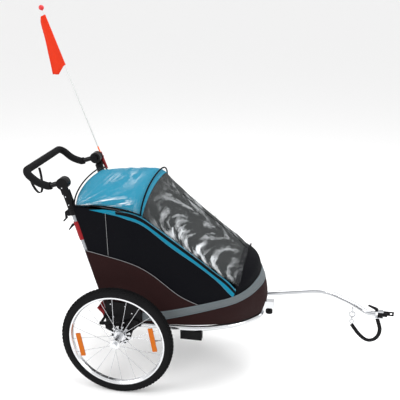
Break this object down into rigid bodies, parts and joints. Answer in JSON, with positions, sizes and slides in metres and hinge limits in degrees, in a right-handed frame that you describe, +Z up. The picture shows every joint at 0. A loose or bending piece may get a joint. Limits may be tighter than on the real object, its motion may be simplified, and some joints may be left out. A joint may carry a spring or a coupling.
{
  "type": "child bicycle trailer",
  "caption": "Child bicycle trailer with a folding tube frame, sprung wheels, hinged push handle, side drawbar with hitch, fabric cabin, rain film and flag.",
  "frame": {"origin": "on the ground under the middle of the overall length and width", "axes": "+X forwards towards the bicycle, +Y to the left, +Z up"},
  "size_m": [1.678, 0.716, 1.6189],
  "materials": {
    "rail_silver": "polished",
    "upright_grey": "satin",
    "black_plastic": "matte moulded",
    "bracket_black": "powder coat",
    "red_plastic": "gloss moulded",
    "orange_plastic": "prismatic gloss",
    "grip_foam": "fine foam",
    "bar_black": "powder coat",
    "tyre_rubber": "matte rubber",
    "rim_alloy": "brushed",
    "spoke_steel": "drawn",
    "drawbar_chrome": "polished",
    "pole_white": "smooth",
    "flag_cloth": "thin nylon",
    "canopy_blue": "coated woven",
    "panel_black": "fine mesh",
    "skirt_brown": "coated woven",
    "mesh_grey": "open mesh",
    "clear_film": "clear soft film",
    "seat_cloth": "padded woven",
    "webbing": "woven strap"
  },
  "bodies": {
    "chassis": {"side_rails": "rail_silver", "front_bow": "rail_silver", "cross_tubes": "rail_silver", "floor_tray": "black_plastic", "seat_cushion": "seat_cloth", "backrest": "seat_cloth", "harness": "webbing", "suspension_brackets": "bracket_black", "drawbar_sockets": "black_plastic", "front_receiver": "black_plastic", "nose_shell": "skirt_brown", "nose_posts": "rail_silver", "side_skirts": "skirt_brown", "side_panels": "panel_black", "canopy": "canopy_blue", "front_cover": "mesh_grey", "rain_cover": "clear_film", "elastomer_right": "grip_foam", "elastomer_left": "grip_foam"},
    "drawbar_pin": {"drawbar_pin": "black_plastic"},
    "receiver_knob": {"receiver_knob": "black_plastic"},
    "brake": {"brake_pedal": "red_plastic", "brake_shaft": "bracket_black"},
    "rear_frame": {"uprights": "upright_grey", "rear_cross_tube": "upright_grey", "latch_sleeves": "red_plastic", "stem_clamps": "black_plastic"},
    "latch_lever_right": {"latch_lever_right": "black_plastic"},
    "latch_lever_left": {"latch_lever_left": "black_plastic"},
    "clamp_lever_right": {"clamp_lever_right": "black_plastic"},
    "clamp_lever_left": {"clamp_lever_left": "black_plastic"},
    "handle_stems": {"handle_stems": "black_plastic", "flag_socket": "orange_plastic"},
    "flag": {"flag_pole": "pole_white", "pennant": "flag_cloth"},
    "handlebar": {"handlebar_tube": "bar_black", "handlebar_foam": "grip_foam", "wrist_strap": "webbing"},
    "tilt_button_right": {"tilt_button_right": "black_plastic"},
    "tilt_button_left": {"tilt_button_left": "black_plastic"},
    "top_frame": {"top_rails": "upright_grey", "front_hoop": "upright_grey"},
    "swing_arm_right": {"swing_arm_right": "bracket_black"},
    "swing_arm_left": {"swing_arm_left": "bracket_black"},
    "wheel_right": {"tyre_right": "tyre_rubber", "rim_right": "rim_alloy", "spokes_right": "spoke_steel", "hub_right": "rim_alloy", "reflectors_right": "orange_plastic"},
    "wheel_left": {"tyre_left": "tyre_rubber", "rim_left": "rim_alloy", "spokes_left": "spoke_steel", "hub_left": "rim_alloy", "reflectors_left": "orange_plastic"},
    "drawbar": {"drawbar_tube": "drawbar_chrome", "safety_strap": "webbing", "snap_hook": "drawbar_chrome"},
    "hitch_knuckle": {"hitch_knuckle": "black_plastic"},
    "hitch_eye": {"hitch_eye": "drawbar_chrome"},
    "hitch_lever": {"hitch_lever": "black_plastic"}
  },
  "joints": [
    {"name": "frame_fold", "type": "hinge", "parent": "chassis", "child": "rear_frame", "pos_m": [-0.415, 0, 0.33], "axis": [0, 1, 0], "range_deg": [0, 86], "deforming": ["backrest", "harness", "side_skirts", "side_panels", "canopy", "front_cover", "rain_cover"]},
    {"name": "rail_fold", "type": "hinge", "parent": "chassis", "child": "top_frame", "pos_m": [0.179, 0, 0.49], "axis": [0, 1, 0], "range_deg": [-35, 0]},
    {"name": "handle_slide", "type": "slide", "parent": "rear_frame", "child": "handle_stems", "axis": [-0.284, 0, 0.9588], "range_m": [0, 0.08]},
    {"name": "handle_tilt", "type": "hinge", "parent": "handle_stems", "child": "handlebar", "pos_m": [-0.58995, 0, 0.92063], "axis": [0, 1, 0], "range_deg": [-45, 110]},
    {"name": "flag_pull", "type": "slide", "parent": "handle_stems", "child": "flag", "axis": [-0.3453, 0, 0.9385], "range_m": [0, 0.08]},
    {"name": "tilt_button_right_press", "type": "slide", "parent": "handlebar", "child": "tilt_button_right", "axis": [0, -1, 0], "range_m": [0, 0.004], "stiffness_N_per_m": 900, "springref_m": -0.003},
    {"name": "tilt_button_left_press", "type": "slide", "parent": "handlebar", "child": "tilt_button_left", "axis": [0, 1, 0], "range_m": [0, 0.004], "stiffness_N_per_m": 900, "springref_m": -0.003},
    {"name": "latch_right_squeeze", "type": "hinge", "parent": "rear_frame", "child": "latch_lever_right", "pos_m": [-0.55861, -0.21, 0.73384], "axis": [0, 1, 0], "range_deg": [0, 35], "stiffness_Nm_per_rad": 0.3, "springref_deg": -17.19},
    {"name": "latch_left_squeeze", "type": "hinge", "parent": "rear_frame", "child": "latch_lever_left", "pos_m": [-0.55861, 0.21, 0.73384], "axis": [0, 1, 0], "range_deg": [0, 35], "stiffness_Nm_per_rad": 0.3, "springref_deg": -17.19},
    {"name": "clamp_right_open", "type": "hinge", "parent": "rear_frame", "child": "clamp_lever_right", "pos_m": [-0.58533, -0.21, 0.79059], "axis": [0, 1, 0], "range_deg": [0, 115]},
    {"name": "clamp_left_open", "type": "hinge", "parent": "rear_frame", "child": "clamp_lever_left", "pos_m": [-0.58533, 0.21, 0.79059], "axis": [0, 1, 0], "range_deg": [0, 115]},
    {"name": "suspension_right", "type": "hinge", "parent": "chassis", "child": "swing_arm_right", "pos_m": [-0.289, -0.238, 0.3], "axis": [0, 1, 0], "range_deg": [0, 4], "stiffness_Nm_per_rad": 120, "springref_deg": -9.17, "deforming": ["elastomer_right"]},
    {"name": "suspension_left", "type": "hinge", "parent": "chassis", "child": "swing_arm_left", "pos_m": [-0.289, 0.238, 0.3], "axis": [0, 1, 0], "range_deg": [0, 4], "stiffness_Nm_per_rad": 120, "springref_deg": -9.17, "deforming": ["elastomer_left"]},
    {"name": "wheel_right_spin", "type": "hinge", "parent": "swing_arm_right", "child": "wheel_right", "pos_m": [-0.351, -0.31, 0.25], "axis": [0, 1, 0], "continuous": true},
    {"name": "wheel_left_spin", "type": "hinge", "parent": "swing_arm_left", "child": "wheel_left", "pos_m": [-0.351, 0.31, 0.25], "axis": [0, 1, 0], "continuous": true},
    {"name": "brake_press", "type": "hinge", "parent": "chassis", "child": "brake", "pos_m": [-0.439, 0, 0.3], "axis": [0, 1, 0], "range_deg": [0, 9]},
    {"name": "drawbar_pull", "type": "slide", "parent": "chassis", "child": "drawbar", "axis": [1, 0, 0], "range_m": [0, 0.085]},
    {"name": "drawbar_pin_pull", "type": "slide", "parent": "chassis", "child": "drawbar_pin", "axis": [0, 1, 0], "range_m": [0, 0.008], "stiffness_N_per_m": 700, "springref_m": -0.004},
    {"name": "receiver_knob_turn", "type": "hinge", "parent": "chassis", "child": "receiver_knob", "pos_m": [0.279, 0, 0.313], "axis": [0, 0, 1], "range_deg": [0, 360]},
    {"name": "hitch_yaw", "type": "hinge", "parent": "drawbar", "child": "hitch_knuckle", "pos_m": [0.779, 0.064, 0.29], "axis": [0, 0, 1], "range_deg": [-60, 60]},
    {"name": "hitch_pitch", "type": "hinge", "parent": "hitch_knuckle", "child": "hitch_eye", "pos_m": [0.801, 0.064, 0.29], "axis": [0, 1, 0], "range_deg": [-35, 35]},
    {"name": "hitch_lever_lift", "type": "hinge", "parent": "drawbar", "child": "hitch_lever", "pos_m": [0.763, 0.064, 0.3125], "axis": [0, 1, 0], "range_deg": [0, 40], "stiffness_Nm_per_rad": 0.15, "springref_deg": -17.19}
  ],
  "couplings": [
    {"joint": "rail_fold", "follows": "frame_fold", "ratio": -0.39535}
  ]
}
